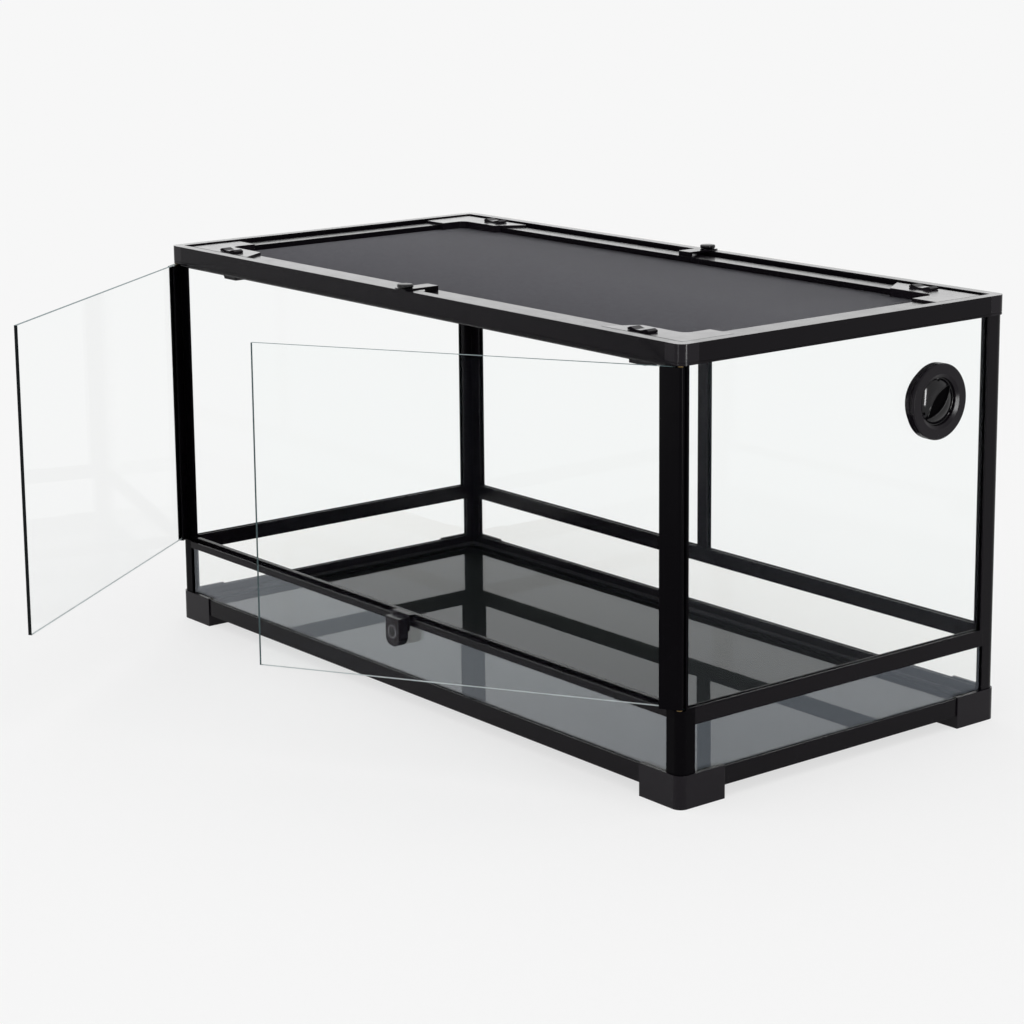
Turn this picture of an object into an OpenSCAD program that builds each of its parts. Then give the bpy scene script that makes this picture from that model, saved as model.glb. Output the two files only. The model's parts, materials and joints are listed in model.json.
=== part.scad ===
// Front opening glass reptile terrarium with a lift-off screen cover.
// X runs along the front, Y to the back, Z up. The origin is the middle of the
// footprint, on the plane that the feet stand on. Inward distances are measured
// from the outer planes of the tank.

/* [Tank] */
// Width over the top frame
tank_w = 914; // [760:1:1220]
// Depth over the top frame
tank_d = 457; // [380:1:610]
// Height from the surface it stands on to the top of the rim
tank_h = 462; // [400:1:620]
// Height of the top of the lower panes' rails
mid_top = 102; // [92:1:150]
// How far the rails and posts are set back behind the top frame and the feet
frame_inset = 1.5; // [0.8:0.1:1.9]
// Outer radius of the frame's upright corners
frame_r = 10; // [6:0.5:10]

/* [Glass] */
// Thickness of the fixed panes
pane_t = 5; // [3:0.5:6]
// Room on each side of a pane in its channel
pane_fit = 0.2; // [0.1:0.05:0.4]
// How deep the panes sit in their rails
pane_seat = 8; // [5:0.5:8.5]
// Thickness of the floor pane
floor_t = 4; // [3:0.5:5]

/* [Frame sections] */
// Wall of the rails and posts
wall = 1.8; // [1.2:0.1:2.2]
// Height of the base rails
base_h = 19.5; // [19:0.5:28]
// Thickness of the flange under the floor pane
flange_t = 1.2; // [0.8:0.1:2]
// Length of the lower posts' legs from the corner
post_leg = 21.5; // [18:0.5:26]
// Length of the back posts' legs from the corner
back_leg = 25.5; // [20:0.5:32]
// Height of the side and back mid rails
mid_h = 18; // [17.5:0.5:24]
// Height of the front mid rail
sill_h = 11; // [10:0.5:14]
// Depth of the front mid rail
sill_d = 15; // [13:0.5:20]
// Width of the upright between the two upper back panes
mullion_w = 16; // [16:0.5:30]
// Width of the flat jambs behind the door hinges
jamb_w = 19; // [16:0.5:26]
// Thickness of the jambs and of the stop flanges
jamb_t = 2.8; // [2:0.1:4]

/* [Top frame] */
// Height of the top rails
top_h = 21; // [17:0.5:28]
// Width of the rim that stands round the screen cover
rim_w = 12; // [11.5:0.5:14]
// Width of the ledge that carries the screen cover
ledge_w = 12; // [10:0.5:12]
// Thickness of the ledge
ledge_t = 3.7; // [2.5:0.1:5]
// Length of the corner connectors from the corner
connector_len = 23; // [21:0.5:30]
// How far the door stop flange hangs below the front top rail
stop_drop = 5.2; // [3:0.1:8]
// Depth of the trim groove round the top frame
trim_groove = 0.5; // [0.3:0.1:0.8]

/* [Feet] */
// Height of the gap under the tank
foot_gap = 13.5; // [8:0.5:24]
// Length of a foot along each side
foot_len = 60; // [45:1:90]
// Width of a foot's pad
foot_pad = 34; // [24:1:40]
// How far a foot reaches above the base rail
foot_lip = 1.5; // [1:0.1:3]

/* [Doors] */
// Thickness of the door glass
door_t = 4; // [3:0.5:5.5]
// Thickness of the hinge strips
strip_t = 8; // [7:0.1:8]
// Width of a hinge strip from the pivot's axis
strip_w = 20; // [14:0.5:28]
// Gap between the two closed doors
door_gap = 4; // [2:0.5:8]
// Distance of the pivots from the side's outer plane
pivot_side = 6; // [5.1:0.1:6]
// Distance of the pivots from the front's outer plane
pivot_front = 5; // [4.5:0.1:5]
// Radius of the pivot pins
pin_r = 1.3; // [1:0.1:1.6]
// Length of a pin in its strip and in the frame
pin_len = 8; // [5:0.5:10]
// Radius of the pins' collars
collar_r = 3; // [2.5:0.1:4]
// Thickness of the pins' collars
collar_t = 1.2; // [0.8:0.1:2]
// Angle at which the left door stands open
left_open = 53.5; // [0:0.5:120]
// Angle at which the right door stands open
right_open = 31; // [0:0.5:120]

/* [Door lock] */
// Width of the lock housing
lock_w = 26; // [24:0.5:34]
// Height of the lock housing
lock_h = 33; // [31:0.5:40]
// Depth of the lock housing
lock_d = 12; // [11:0.5:16]
// Radius of the key cylinder
plug_r = 6; // [5.5:0.1:7]
// Width of the clip that holds the lock on the rail
clip_w = 32; // [29:0.5:40]
// Thickness of the clip
clip_t = 0.9; // [0.6:0.1:0.9]
// Width of the lock bolt
bolt_w = 18; // [17:0.5:20]
// Height of the lock bolt
bolt_h = 22; // [20:0.5:23]
// Travel of the lock bolt
bolt_travel = 8; // [5:0.5:8]

/* [Cable port] */
// Radius of the flange
port_r = 40; // [36:0.5:50]
// How far the flange stands out from the glass
port_d = 10; // [9:0.5:14]
// Width of the flange around the neck that goes through the glass
flange_w = 10.3; // [9:0.1:12]
// Wall of the neck around the turning dial
neck_wall = 4.7; // [4:0.1:6]
// Distance of the port's centre from the back
port_back = 105; // [80:0.5:160]
// Distance of the port's centre from the top
port_top = 100; // [80:0.5:160]

/* [Screen cover] */
// Gap between the cover and the rim
cover_gap = 1; // [0.5:0.1:2]
// Width of the low flange round the cover's rails
flange_out = 11; // [9:0.5:14]
// Thickness of that flange
flange_t = 3; // [2:0.5:4]
// Width of the cover's rails
rail_w = 22; // [20:0.5:28]
// Height of the cover's rails
rail_h = 13; // [11:0.5:15]
// Height of the mesh above the rails' underside
mesh_rise = 6; // [4:0.5:7]
// Thickness of the mesh
mesh_t = 0.6; // [0.4:0.1:1]
// Openings of the mesh from left to right
mesh_across = 12; // [8:1:12]
// Openings of the mesh from front to back
mesh_deep = 6; // [4:1:6]
// Width of the bars between the openings
mesh_bar = 6; // [4:0.5:8]
// Distance of the corner pieces from the side's outer plane
cap_out = 19; // [16:0.5:22]
// Width of the corner pieces
cap_w = 34; // [30:0.5:40]
// Thickness of the corner pieces on top of the rails
cap_t = 2.5; // [1.5:0.5:4]
// Length of a corner piece along the front or back
cap_long = 97; // [90:1:130]
// Length of a corner piece along a side
cap_short = 67; // [55:1:100]
// Distance of the latches from the side's outer plane
latch_in = 89; // [86:1:92]
// Length of a latch
latch_len = 29; // [20:1:30]
// Travel of the latches
latch_travel = 7; // [5:0.5:7]
// Depth of the latch feet below the ledge's underside
latch_drop = 13; // [8:0.5:16]
// Width of the hold-down clips
hold_w = 19; // [15:0.5:26]
// Distance of the front hold-down clip to the right of the middle
hold_x = 10; // [0:1:40]
// Distance of the back hold-down clip to the right of the middle
hold_back_x = 5; // [0:1:40]
// Radius of the thumb screws' heads
knob_r = 8.8; // [7:0.1:9.5]
// Height of the thumb screws' heads
knob_h = 4.5; // [3:0.1:6]

/* [Hidden] */
$fn = 48;

frame_colour = "#17161a";
plastic_colour = "#1d1c20";
glass_colour = "#cfe3e080";
brass_colour = "#b08a45";
mesh_colour = "#5f6065";
// Running gap between pieces that move past each other
run_gap = 0.3;
// Gap between a pin and its bore
pin_gap = 0.05;
// Overshoot of a cut past the face that it opens
cut = 1;

// Inward distances of the channel that holds a pane
slot_out = frame_inset + wall;
slot_in = slot_out + pane_t + 2 * pane_fit;
rail_in = slot_in + wall;
pane_out = slot_out + pane_fit;

// Heights of the base
base_top = foot_gap + base_h;
post_inner_r = frame_r - wall - 1;
floor_z = foot_gap + flange_t;
floor_top = floor_z + floor_t;
web_z = floor_top + run_gap;
base_seat = base_top - pane_seat;
lower_pane_z = base_seat + pane_fit;

// Heights of the mid rails
mid_z = mid_top - mid_h;
mid_lower_seat = mid_z + pane_seat;
mid_upper_seat = mid_top - pane_seat;
sill_z = mid_top - sill_h;
sill_grip = 4.2;
sill_floor = sill_z + sill_grip + wall;
sill_lip = sill_floor + 2;

// Heights of the top frame
top_z = tank_h - top_h;
ledge_top = top_z + ledge_t;
top_seat = top_z + pane_seat + 1;
ledge_in = rim_w + ledge_w;
groove_z = top_z + 2.2;
groove_h = 0.8;

// Doors
pivot_x = tank_w / 2 - pivot_side;
pivot_y = tank_d / 2 - pivot_front;
strip_r = strip_t / 2;
stop_gap = 0.4;
stop_face = pivot_front + strip_r + stop_gap;
post_top = mid_top - 2;
door_z = post_top + run_gap + collar_t;
door_top = top_z - run_gap - collar_t;
door_glass_z = door_z + 2;
door_len = pivot_x - door_gap / 2;
strip_fit = 0.1;

// Screen cover
cover_out = rim_w + cover_gap;
cover_z = ledge_top + run_gap;
rail_top = cover_z + rail_h;
rail_out = cover_out + flange_out;
rail_end = rail_out + rail_w;
mesh_seat = rail_end - 6;
mesh_z = cover_z + mesh_rise;
mesh_fit = 0.1;
cap_in = cap_out + cap_w;
cap_top = rail_top + cap_t;
cap_taper = 22;
cap_fillet = 10;
latch_t = 3;
latch_leg_out = ledge_in + 9;
latch_foot_out = ledge_in + 1;
latch_foot_h = 9;
latch_button_w = 12;
latch_button_over = 1;
knob_in = 7;
stud_r = 2;
stud_len = 8;
hold_t = 1.2;
hold_reach = rail_end - 2;
hold_lip = 4;

function side_reach(side) = (side % 2 == 0 ? tank_d : tank_w) / 2;
function side_len(side) = side % 2 == 0 ? tank_w : tank_d;

// Sides are numbered 0 front, 1 right, 2 back, 3 left. On a side, X runs along
// it, Y inward from its outer plane.
module on_side(side) {
    rotate([0, 0, side * 90])
        translate([0, -side_reach(side), 0])
            children();
}

// At a corner, X and Y both run inward from the outer planes.
module at_corner(right, back) {
    mirror([right ? 1 : 0, 0, 0])
        mirror([0, back ? 1 : 0, 0])
            translate([-tank_w / 2, -tank_d / 2, 0])
                children();
}

// A rail whose section is drawn with X inward and Y up
module along(length) {
    rotate([90, 0, 90])
        linear_extrude(length, center = true)
            children();
}

module block(low, high) {
    translate(low)
        cube(high - low);
}

module upright(low, high) {
    translate([0, 0, low])
        linear_extrude(high - low)
            children();
}

// What a rounded corner takes away from a square one
module corner_cut(from, r) {
    difference() {
        translate([from - cut, from - cut])
            square(r + cut);
        translate([from + r, from + r])
            circle(r);
    }
}

module corner_square(from, to, r) {
    difference() {
        translate([from, from])
            square(to - from);
        corner_cut(from, r);
    }
}

// Base

base_profile = [
    [frame_inset, foot_gap], [post_leg, foot_gap], [post_leg, floor_z], [slot_out, floor_z],
    [slot_out, web_z], [rail_in, web_z], [rail_in, base_top], [slot_in, base_top],
    [slot_in, base_seat], [slot_out, base_seat], [slot_out, base_top], [frame_inset, base_top]
];

module base_rail(side) {
    color(frame_colour)
        on_side(side)
            along(side_len(side) - 2 * post_leg)
                polygon(base_profile);
}

module foot_pad_shape() {
    difference() {
        corner_square(0, foot_len, frame_r);
        difference() {
            translate([foot_pad, foot_pad])
                square(foot_len);
            difference() {
                translate([foot_pad, foot_pad])
                    square(frame_r);
                translate([foot_pad + frame_r, foot_pad + frame_r])
                    circle(frame_r);
            }
        }
    }
}

module foot(right, back) {
    color(plastic_colour)
        at_corner(right, back) {
            upright(0, foot_gap)
                foot_pad_shape();
            upright(foot_gap, base_top + foot_lip)
                difference() {
                    corner_square(0, foot_len, frame_r);
                    corner_square(frame_inset, foot_len + cut, frame_r - frame_inset);
                }
            block([post_leg + pane_fit, frame_inset, base_top + pane_fit],
                  [foot_len, slot_out - pane_fit, base_top + foot_lip]);
            block([frame_inset, post_leg + pane_fit, base_top + pane_fit],
                  [slot_out - pane_fit, foot_len, base_top + foot_lip]);
        }
}

module floor_glass() {
    edge = slot_out + 2 * pane_fit;
    color(glass_colour)
        difference() {
            block([edge - tank_w / 2, edge - tank_d / 2, floor_z],
                  [tank_w / 2 - edge, tank_d / 2 - edge, floor_top]);
            each_corner()
                upright(floor_z - cut, floor_top + cut)
                    corner_cut(edge, post_inner_r);
        }
}

module floor_liner() {
    edge = post_leg + pane_fit;
    color("#0d0d0f")
        block([edge - tank_w / 2, edge - tank_d / 2, foot_gap],
              [tank_w / 2 - edge, tank_d / 2 - edge, floor_z]);
}

// Posts

// An L with a pane channel open at the end of each leg. The core is how far
// the post is solid from the corner.
module post_shape(leg, core) {
    difference() {
        polygon([
            [frame_inset, frame_inset], [leg, frame_inset], [leg, slot_out], [core, slot_out],
            [core, slot_in], [leg, slot_in], [leg, rail_in], [rail_in, rail_in], [rail_in, leg],
            [slot_in, leg], [slot_in, core], [slot_out, core], [slot_out, leg], [frame_inset, leg]
        ]);
        corner_cut(frame_inset, frame_r - 1);
    }
}

// The outer walls alone, round the edge of the floor pane
module skirt_shape(leg) {
    difference() {
        corner_square(frame_inset, leg, frame_r - 1);
        corner_square(slot_out, leg + cut, post_inner_r);
    }
}

lower_core = slot_in + 0.5;
back_core = slot_in + 1;

module lower_post(right, back) {
    at_corner(right, back) {
        upright(foot_gap, web_z)
            skirt_shape(post_leg);
        upright(web_z, mid_top)
            post_shape(post_leg, lower_core);
    }
}

module lower_posts_back() {
    color(frame_colour) {
        lower_post(false, true);
        lower_post(true, true);
    }
}

// The front posts stop below the door hinges and carry their lower pins.
module lower_posts_front() {
    color(frame_colour)
        for (right = [false, true])
            difference() {
                lower_post(right, false);
                at_corner(right, false) {
                    block([-cut, -cut, post_top], [post_leg + cut, stop_face, mid_top + cut]);
                    translate([pivot_side, pivot_front, post_top - pin_len - run_gap])
                        cylinder(h = pin_len + cut, r = pin_r + pin_gap);
                }
            }
}

module back_post(right) {
    color(frame_colour)
        at_corner(right, true)
            upright(mid_top, top_z)
                post_shape(back_leg, back_core);
}

module front_jamb(right) {
    color(frame_colour)
        at_corner(right, false)
            block([frame_inset, stop_face, mid_top],
                  [frame_inset + jamb_w, stop_face + jamb_t, top_z]);
}

module back_mullion() {
    web = wall * 3;
    color(frame_colour)
        on_side(2)
            upright(mid_top, top_z)
                union() {
                    translate([-mullion_w / 2, frame_inset])
                        square([mullion_w, wall]);
                    translate([-mullion_w / 2, slot_in])
                        square([mullion_w, wall]);
                    translate([-web / 2, frame_inset])
                        square([web, rail_in - frame_inset]);
                }
}

// Fixed panes

module wall_pane(side, low, high) {
    color(glass_colour)
        on_side(side)
            block([low[0], pane_out, low[1]], [high[0], pane_out + pane_t, high[1]]);
}

module lower_pane(side, top) {
    half = side_len(side) / 2 - lower_core - pane_fit;
    wall_pane(side, [-half, lower_pane_z], [half, top]);
}

upper_pane_z = mid_upper_seat + pane_fit;
upper_front_end = tank_d / 2 - stop_face - jamb_t - pane_fit;
upper_back_end = tank_d / 2 - back_core - pane_fit;

module upper_pane_left() {
    wall_pane(3, [-upper_back_end, upper_pane_z], [upper_front_end, top_seat - 1]);
}

module upper_pane_right() {
    difference() {
        wall_pane(1, [-upper_front_end, upper_pane_z], [upper_back_end, top_seat - 1]);
        at_port()
            rotate([0, 90, 0])
                cylinder(h = 4 * pane_t, r = neck_r + pane_fit, center = true);
    }
}

module upper_pane_back(right) {
    near = wall * 1.5 + pane_fit;
    far = tank_w / 2 - back_core - pane_fit;
    wall_pane(2,
        [right ? -far : near, upper_pane_z],
        [right ? -near : far, top_seat - 1]);
}

// Mid rails

mid_profile = [
    [frame_inset, mid_z], [slot_out, mid_z], [slot_out, mid_lower_seat], [slot_in, mid_lower_seat],
    [slot_in, mid_z], [rail_in, mid_z], [rail_in, mid_top], [slot_in, mid_top],
    [slot_in, mid_upper_seat], [slot_out, mid_upper_seat], [slot_out, mid_top], [frame_inset, mid_top]
];

sill_profile = [
    [frame_inset, sill_z], [slot_out, sill_z], [slot_out, sill_z + sill_grip],
    [slot_in, sill_z + sill_grip], [slot_in, sill_z], [sill_d, sill_z], [sill_d, mid_top],
    [stop_face, mid_top], [stop_face, sill_floor], [slot_out, sill_floor],
    [slot_out, sill_lip], [frame_inset, sill_lip]
];

module mid_rail(side) {
    color(frame_colour)
        on_side(side)
            along(side_len(side) - 2 * post_leg)
                polygon(side == 0 ? sill_profile : mid_profile);
}

// Top frame

trim_points = [
    [0, groove_z + groove_h], [trim_groove, groove_z + groove_h], [trim_groove, groove_z], [0, groove_z]
];

rim_points = [
    [ledge_in, top_z], [ledge_in, ledge_top], [rim_w, ledge_top], [rim_w, tank_h], [0, tank_h]
];

top_profile = concat(
    [[0, top_z], [slot_out, top_z], [slot_out, top_seat], [slot_in, top_seat], [slot_in, top_z]],
    rim_points, trim_points
);

front_top_profile = concat(
    [
        [0, top_z], [stop_face, top_z], [stop_face, top_z - stop_drop],
        [stop_face + jamb_t, top_z - stop_drop], [stop_face + jamb_t, top_z]
    ],
    rim_points, trim_points
);

module top_rail(side) {
    color(frame_colour)
        difference() {
            on_side(side)
                along(side_len(side) - 2 * connector_len)
                    polygon(side == 0 ? front_top_profile : top_profile);
            if (side % 2 == 0)
                on_side(side)
                    translate([side == 0 ? hold_x : -hold_back_x, knob_in, tank_h - stud_len - run_gap])
                        cylinder(h = stud_len + cut, r = stud_r + run_gap);
            else
                each_corner()
                    block([rim_w + cut, 0, top_z - cut], [ledge_in + cut, ledge_in, ledge_top + cut]);
        }
}

module rim_shape(set_back) {
    difference() {
        corner_square(set_back, connector_len, frame_r - set_back);
        translate([rim_w, rim_w])
            square(connector_len);
    }
}

module top_corner(right, back) {
    color(plastic_colour)
        at_corner(right, back)
            difference() {
                union() {
                    upright(top_z, groove_z)
                        rim_shape(0);
                    upright(groove_z, groove_z + groove_h)
                        rim_shape(trim_groove);
                    upright(groove_z + groove_h, tank_h)
                        rim_shape(0);
                    block([rim_w, rim_w, top_z], [connector_len, connector_len, ledge_top]);
                }
                block([slot_out, back ? back_core : stop_face + jamb_t, top_z - cut],
                      [slot_in, connector_len + cut, top_seat]);
                if (back)
                    block([back_core, slot_out, top_z - cut], [connector_len + cut, slot_in, top_seat]);
                else
                    translate([pivot_side, pivot_front, top_z - cut])
                        cylinder(h = pin_len + run_gap + cut, r = pin_r + pin_gap);
            }
}

// Doors. A door is drawn closed, with X from its pivot to the middle.

module at_door(right) {
    if (right)
        translate([pivot_x, -pivot_y, 0])
            rotate([0, 0, right_open])
                mirror([1, 0, 0])
                    children();
    else
        translate([-pivot_x, -pivot_y, 0])
            rotate([0, 0, -left_open])
                children();
}

module door_glass(right) {
    color(glass_colour)
        at_door(right)
            block([strip_r, -door_t / 2, door_glass_z], [door_len, door_t / 2, door_top]);
}

module hinge_strip(right) {
    slot = door_t / 2 + strip_fit;
    color(plastic_colour)
        at_door(right)
            difference() {
                upright(door_z, door_top)
                    union() {
                        circle(strip_r);
                        translate([0, -strip_r])
                            square([strip_w, strip_t]);
                    }
                block([strip_r - strip_fit, -slot, door_glass_z - strip_fit],
                      [strip_w + cut, slot, door_top + cut]);
                for (z = [door_z - cut, door_top - pin_len])
                    translate([0, 0, z])
                        cylinder(h = pin_len + cut, r = pin_r + pin_gap);
            }
}

module hinge_pin() {
    cylinder(h = 2 * pin_len + collar_t, r = pin_r);
    translate([0, 0, pin_len])
        cylinder(h = collar_t, r = collar_r);
}

module hinge_pins(right) {
    color(brass_colour)
        at_door(right) {
            translate([0, 0, door_top - pin_len])
                hinge_pin();
            translate([0, 0, door_z - pin_len - collar_t])
                hinge_pin();
        }
}

// Door lock. Its places are on the front side, with Y inward.

clip_out = frame_inset - pane_fit - clip_t;
lock_top = sill_lip + 0.5;
plug_z = lock_top - 16;
bolt_out = clip_out - run_gap - latch_t;
crank_r = bolt_travel / 2;
crank_pin_r = 1.2;
crank_play = 1.2;

module lock_shape() {
    r = lock_w / 2;
    translate([-r, lock_top - lock_h + r])
        square([lock_w, lock_h - r]);
    translate([0, lock_top - lock_h + r])
        circle(r);
}

// Extrudes an outline drawn with X along the front and Y up, from one inward
// distance to another.
module fronted(from, to) {
    translate([0, to, 0])
        rotate([90, 0, 0])
            linear_extrude(to - from)
                children();
}

module lock_body() {
    color(plastic_colour)
        on_side(0)
            difference() {
                union() {
                    fronted(clip_out - lock_d + 1, clip_out)
                        lock_shape();
                    fronted(clip_out - lock_d, clip_out - lock_d + 1)
                        intersection() {
                            lock_shape();
                            translate([0, lock_top - lock_h / 2 + 1])
                                square([lock_w - 2, lock_h], center = true);
                        }
                }
                translate([0, clip_out - lock_d - cut, plug_z])
                    rotate([-90, 0, 0])
                        cylinder(h = lock_d, r = plug_r + pin_gap);
                block([-bolt_w / 2 - run_gap, bolt_out - run_gap, lock_top - bolt_h - run_gap],
                      [bolt_w / 2 + run_gap, clip_out + cut, lock_top + cut]);
            }
}

module lock_plug() {
    color("#6e6d70")
        on_side(0)
            difference() {
                union() {
                    translate([0, clip_out - lock_d - 0.6, plug_z])
                        rotate([-90, 0, 0])
                            cylinder(h = bolt_out - run_gap - clip_out + lock_d + 0.6, r = plug_r);
                    translate([0, bolt_out - 2 * run_gap, plug_z - crank_r])
                        rotate([-90, 0, 0])
                            cylinder(h = latch_t, r = crank_pin_r);
                }
                translate([0, clip_out - lock_d - 0.6, plug_z])
                    cube([1, 6, plug_r * 1.2], center = true);
            }
}

module lock_bolt() {
    window_w = crank_r + crank_pin_r + run_gap;
    window_h = crank_pin_r + crank_play;
    color("#6e6d70")
        on_side(0)
            difference() {
                block([-bolt_w / 2, bolt_out, lock_top - bolt_h],
                      [bolt_w / 2, bolt_out + latch_t, lock_top]);
                block([-window_w, bolt_out - cut, plug_z - crank_r - window_h],
                      [window_w, bolt_out + latch_t + cut, plug_z - crank_r + window_h]);
            }
}

// The clip hooks over the rail's lip and grips its underside with two fingers.
module lock_clip() {
    finger_w = 9;
    finger_z = sill_z - 7;
    saddle_top = door_glass_z - run_gap;
    saddle_end = stop_face - 2.2;
    color(plastic_colour)
        on_side(0) {
            fronted(clip_out, clip_out + clip_t) {
                translate([-clip_w / 2, sill_z])
                    square([clip_w, saddle_top - sill_z]);
                for (x = [-clip_w / 2, clip_w / 2 - finger_w]) {
                    translate([x, finger_z + finger_w / 2])
                        square([finger_w, sill_z - finger_z - finger_w / 2]);
                    translate([x + finger_w / 2, finger_z + finger_w / 2])
                        circle(finger_w / 2);
                }
            }
            block([-clip_w / 2, clip_out + clip_t, saddle_top - clip_t],
                  [clip_w / 2, saddle_end, saddle_top]);
            block([-clip_w / 2, saddle_end - clip_t, sill_floor + pane_fit],
                  [clip_w / 2, saddle_end, saddle_top - clip_t]);
        }
}

// Cable port, drawn with X outward from the right pane's outer face

pane_face = tank_w / 2 - pane_out;
port_y = tank_d / 2 - port_back;
port_z = tank_h - port_top;
port_layer = 4.5;
neck_r = port_r - flange_w;
dial_r = neck_r - neck_wall;
neck_in = dial_r - 3;
neck_len = pane_t + 7.5;
seat_x = 4;
dial_t = 3;

module at_port() {
    translate([pane_face, port_y, port_z])
        children();
}

// Turns a section drawn with X as radius and Y outward
module port_turned() {
    rotate([90, 0, 90])
        rotate_extrude($fn = 96)
            children();
}

module port_flange() {
    color(plastic_colour)
        at_port()
            port_turned()
                polygon([
                    [neck_in, -neck_len], [neck_r, -neck_len], [neck_r, 0], [port_r, 0],
                    [port_r, port_layer], [port_r - 2.5, port_layer],
                    [port_r - 2.5, port_d - port_layer], [port_r, port_d - port_layer],
                    [port_r, port_d - 1.2], [port_r - 1.2, port_d], [dial_r + 4, port_d],
                    [dial_r + run_gap, port_d - 2], [dial_r + run_gap, seat_x], [neck_in, seat_x]
                ]);
}

module port_ring() {
    notches = 12;
    ring_t = 4;
    ring_r = port_r - 6;
    ring_x = -pane_t - pane_fit - ring_t;
    color(plastic_colour)
        at_port()
            difference() {
                port_turned()
                    polygon([
                        [neck_r + pin_gap, ring_x], [ring_r, ring_x],
                        [ring_r, ring_x + ring_t], [neck_r + pin_gap, ring_x + ring_t]
                    ]);
                for (turn = [0 : 360 / notches : 359])
                    rotate([turn, 0, 0])
                        translate([ring_x - cut, 0, ring_r])
                            rotate([0, 90, 0])
                                cylinder(h = ring_t + 2 * cut, r = 3);
            }
}

module port_dial() {
    grip_len = 2 * dial_r - 11;
    grip_w = 13;
    grip_arc = (grip_len * grip_len + grip_w * grip_w) / (4 * grip_w);
    skirt_r = neck_in - run_gap;
    dial_x = seat_x + run_gap;
    color(plastic_colour)
        at_port()
            difference() {
                union() {
                    port_turned()
                        polygon([
                            [0, dial_x], [skirt_r - 2, dial_x], [skirt_r - 2, -pane_t],
                            [skirt_r, -pane_t], [skirt_r, dial_x], [dial_r, dial_x],
                            [dial_r, dial_x + dial_t], [dial_r - 3, dial_x + dial_t],
                            [dial_r - 5, dial_x + dial_t - 1], [0, dial_x + dial_t - 1]
                        ]);
                    rotate([45, 0, 0])
                        rotate([90, 0, 90])
                            translate([0, 0, dial_x + dial_t / 2])
                                linear_extrude(port_d - dial_x - dial_t / 2 - run_gap)
                                    intersection() {
                                        translate([0, grip_arc - grip_w / 2])
                                            circle(grip_arc, $fn = 180);
                                        translate([0, grip_w / 2 - grip_arc])
                                            circle(grip_arc, $fn = 180);
                                    }
                }
                for (turn = [15, 135, 255])
                    rotate([turn, 0, 0])
                        translate([dial_x + dial_t, 0, dial_r - 2])
                            cube([1.6, 3, 8], center = true);
            }
}

// Screen cover

slot_a = latch_in - latch_len / 2 - run_gap;
slot_b = latch_in + latch_len / 2 + run_gap;
latch_slot_out = latch_leg_out - latch_travel - run_gap;

module each_corner() {
    for (right = [false, true])
        for (back = [false, true])
            at_corner(right, back)
                children();
}

rail_profile = [
    [rail_out, cover_z], [rail_end, cover_z], [rail_end, mesh_z - mesh_fit],
    [mesh_seat - pane_fit, mesh_z - mesh_fit], [mesh_seat - pane_fit, mesh_z + mesh_t + mesh_fit],
    [rail_end, mesh_z + mesh_t + mesh_fit], [rail_end, rail_top], [rail_out, rail_top]
];

module cover_rails() {
    color(frame_colour)
        difference() {
            for (side = [0 : 3])
                on_side(side) {
                    across = side % 2 == 0;
                    along(side_len(side) - 2 * (across ? rail_out : rail_end + mesh_fit))
                        polygon(rail_profile);
                    along(side_len(side) - 2 * (across ? cover_out : rail_end + mesh_fit))
                        translate([cover_out, cover_z])
                            square([rail_end - cover_out, flange_t]);
                }
            each_corner()
                block([slot_a, latch_slot_out, cover_z - cut],
                      [slot_b, latch_leg_out + latch_t + run_gap, rail_top + cut]);
        }
}

module cap_shape() {
    long_end = cap_out + cap_long;
    short_end = cap_out + cap_short;
    polygon([
        [cap_out, cap_out], [long_end + cap_taper, cap_out], [long_end, cap_in],
        [cap_in, cap_in], [cap_in, short_end], [cap_out, short_end]
    ]);
    difference() {
        translate([cap_in, cap_in])
            square(cap_fillet);
        translate([cap_in + cap_fillet, cap_in + cap_fillet])
            circle(cap_fillet);
    }
}

module cover_corners() {
    color(plastic_colour)
        each_corner()
            difference() {
                union() {
                    upright(rail_top, cap_top)
                        cap_shape();
                    upright(mesh_z + mesh_t + mesh_fit, rail_top)
                        intersection() {
                            cap_shape();
                            translate([rail_end, rail_end])
                                square(tank_w / 4);
                        }
                }
                block([slot_a, latch_slot_out, rail_top - cut],
                      [slot_b, latch_leg_out + latch_t + run_gap, cap_top + cut]);
            }
}

module cover_mesh() {
    span_x = tank_w / 2 - mesh_seat;
    span_y = tank_d / 2 - mesh_seat;
    border = rail_end - mesh_seat + mesh_bar / 2;
    cell_x = (2 * (span_x - border) - (mesh_across - 1) * mesh_bar) / mesh_across;
    cell_y = (2 * (span_y - border) - (mesh_deep - 1) * mesh_bar) / mesh_deep;
    color(mesh_colour)
        difference() {
            block([-span_x, -span_y, mesh_z], [span_x, span_y, mesh_z + mesh_t]);
            for (i = [0 : mesh_across - 1])
                for (j = [0 : mesh_deep - 1])
                    translate([border - span_x + i * (cell_x + mesh_bar),
                               border - span_y + j * (cell_y + mesh_bar), mesh_z - cut])
                        cube([cell_x, cell_y, mesh_t + 2 * cut]);
        }
}

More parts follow.
